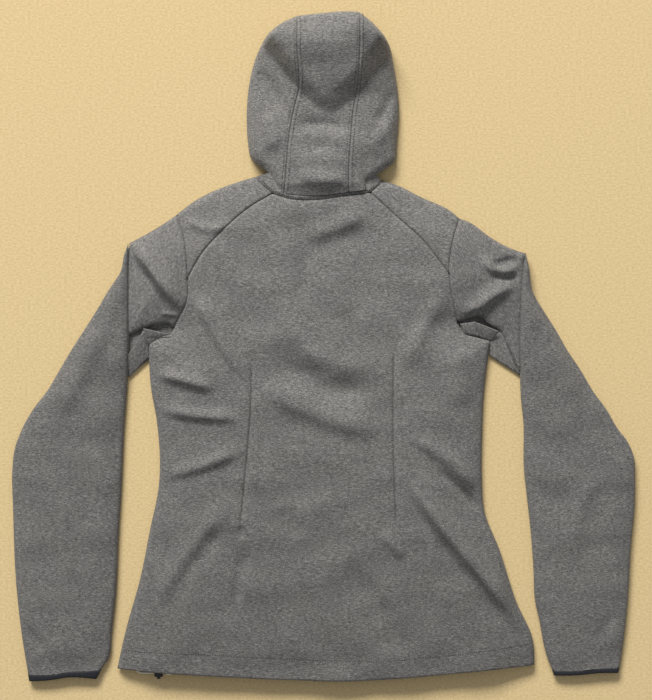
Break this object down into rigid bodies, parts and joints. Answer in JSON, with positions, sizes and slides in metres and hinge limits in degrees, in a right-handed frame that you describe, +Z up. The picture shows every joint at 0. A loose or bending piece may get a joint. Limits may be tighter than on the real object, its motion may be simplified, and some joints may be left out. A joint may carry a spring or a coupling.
{
  "type": "softshell jacket",
  "caption": "Hooded softshell jacket lying flat on its front: fitted back with darts, raglan yokes, bound cuffs, three-panel hood, front zip and zipped hand pockets.",
  "frame": {"origin": "on the floor under the middle of the whole jacket's box", "axes": "+Z up away from the floor, +Y from the hem to the hood, +X to the right of someone looking down on the jacket's back"},
  "size_m": [0.856, 0.916, 0.0506],
  "materials": {
    "shell_fabric": "heather grey bonded softshell, matt",
    "inner_fabric": "smooth grey inner face",
    "black_binding": "black elastic binding",
    "zip_tape": "woven zip tape",
    "zip_teeth": "moulded zip teeth",
    "zip_metal": "dark coated zip slider",
    "elastic_cord": "pale elastic cord",
    "lock_plastic": "black moulded cord lock"
  },
  "bodies": {
    "torso": {"back_panel": "shell_fabric", "back_collar": "shell_fabric", "shoulder_yoke_left": "shell_fabric", "shoulder_yoke_right": "shell_fabric", "sleeve_cap_left": "shell_fabric", "sleeve_cap_right": "shell_fabric", "side_seam_left": "shell_fabric", "side_seam_right": "shell_fabric", "shoulder_seam_left": "shell_fabric", "shoulder_seam_right": "shell_fabric", "front_panel_left": "shell_fabric", "front_panel_right": "shell_fabric", "front_collar_left": "shell_fabric", "front_collar_right": "shell_fabric", "underarm_gusset_left": "shell_fabric", "underarm_gusset_right": "shell_fabric", "pocket_welt_left": "shell_fabric", "pocket_welt_right": "shell_fabric", "back_hem_facing": "inner_fabric", "chin_guard": "inner_fabric", "neck_tape": "inner_fabric", "hanger_loop": "inner_fabric", "front_facing_left": "inner_fabric", "front_facing_right": "inner_fabric", "front_hem_facing_left": "inner_fabric", "front_hem_facing_right": "inner_fabric", "pocket_bag_left": "inner_fabric", "pocket_bag_right": "inner_fabric", "front_zip_tape_left": "zip_tape", "front_zip_tape_right": "zip_tape", "pocket_zip_left": "zip_tape", "pocket_zip_right": "zip_tape", "front_zip_teeth_left": "zip_teeth", "front_zip_teeth_right": "zip_teeth", "front_zip_top_stops": "zip_teeth", "front_zip_retainer_box": "zip_teeth", "hem_drawcord": "elastic_cord", "hem_drawcord_ends": "elastic_cord"},
    "hood": {"hood_centre_panel": "shell_fabric", "hood_side_panel_left": "shell_fabric", "hood_side_panel_right": "shell_fabric", "hood_face_binding": "black_binding"},
    "sleeve_left": {"sleeve_upper_left": "shell_fabric", "sleeve_under_left": "shell_fabric", "sleeve_edge_left": "shell_fabric", "cuff_binding_left": "black_binding"},
    "sleeve_right": {"sleeve_upper_right": "shell_fabric", "sleeve_under_right": "shell_fabric", "sleeve_edge_right": "shell_fabric", "cuff_binding_right": "black_binding"},
    "front_zip_slider": {"front_zip_slider": "zip_metal"},
    "front_zip_pull": {"front_zip_pull": "zip_metal"},
    "pocket_zip_left_slider": {"pocket_zip_slider_left": "zip_metal"},
    "pocket_zip_left_pull": {"pocket_zip_pull_left": "zip_metal"},
    "pocket_zip_right_slider": {"pocket_zip_slider_right": "zip_metal"},
    "pocket_zip_right_pull": {"pocket_zip_pull_right": "zip_metal"},
    "cord_lock_left": {"cord_lock_body_left": "lock_plastic"},
    "lock_button_left": {"cord_lock_plunger_left": "lock_plastic"},
    "cord_lock_right": {"cord_lock_body_right": "lock_plastic"},
    "lock_button_right": {"cord_lock_plunger_right": "lock_plastic"}
  },
  "joints": [
    {"name": "hood_fold", "type": "hinge", "parent": "torso", "child": "hood", "pos_m": [-0.006, 0.2105, 0.0235], "axis": [1, 0, 0], "range_deg": [0, 135]},
    {"name": "sleeve_swing_left", "type": "hinge", "parent": "torso", "child": "sleeve_left", "pos_m": [-0.2695, 0.14, 0.009], "axis": [0, 0, -1], "range_deg": [0, 60]},
    {"name": "sleeve_swing_right", "type": "hinge", "parent": "torso", "child": "sleeve_right", "pos_m": [0.279, 0.127, 0.009], "axis": [0, 0, 1], "range_deg": [0, 60]},
    {"name": "front_zip_slide", "type": "slide", "parent": "torso", "child": "front_zip_slider", "axis": [0, -1, 0], "range_m": [0, 0.62]},
    {"name": "front_zip_pull_tilt", "type": "hinge", "parent": "front_zip_slider", "child": "front_zip_pull", "pos_m": [0, 0.19015, 0.0023], "axis": [1, 0, 0], "range_deg": [0, 135]},
    {"name": "pocket_zip_left_slide", "type": "slide", "parent": "torso", "child": "pocket_zip_left_slider", "axis": [-0.1392, -0.9903, 0], "range_m": [0, 0.14]},
    {"name": "pocket_zip_left_pull_tilt", "type": "hinge", "parent": "pocket_zip_left_slider", "child": "pocket_zip_left_pull", "pos_m": [-0.15405, -0.15712, 0.0023], "axis": [0.9903, -0.1392, 0], "range_deg": [0, 135]},
    {"name": "pocket_zip_right_slide", "type": "slide", "parent": "torso", "child": "pocket_zip_right_slider", "axis": [0.1392, -0.9903, 0], "range_m": [0, 0.14]},
    {"name": "pocket_zip_right_pull_tilt", "type": "hinge", "parent": "pocket_zip_right_slider", "child": "pocket_zip_right_pull", "pos_m": [0.15405, -0.15712, 0.0023], "axis": [0.9903, 0.1392, 0], "range_deg": [0, 135]},
    {"name": "cord_lock_slide_left", "type": "slide", "parent": "torso", "child": "cord_lock_left", "axis": [-1, 0, 0], "range_m": [-0.003, 0.012]},
    {"name": "lock_button_press_left", "type": "slide", "parent": "cord_lock_left", "child": "lock_button_left", "axis": [0, 1, 0], "range_m": [0, 0.0016], "stiffness_N_per_m": 400},
    {"name": "cord_lock_slide_right", "type": "slide", "parent": "torso", "child": "cord_lock_right", "axis": [1, 0, 0], "range_m": [-0.003, 0.012]},
    {"name": "lock_button_press_right", "type": "slide", "parent": "cord_lock_right", "child": "lock_button_right", "axis": [0, 1, 0], "range_m": [0, 0.0016], "stiffness_N_per_m": 400}
  ]
}
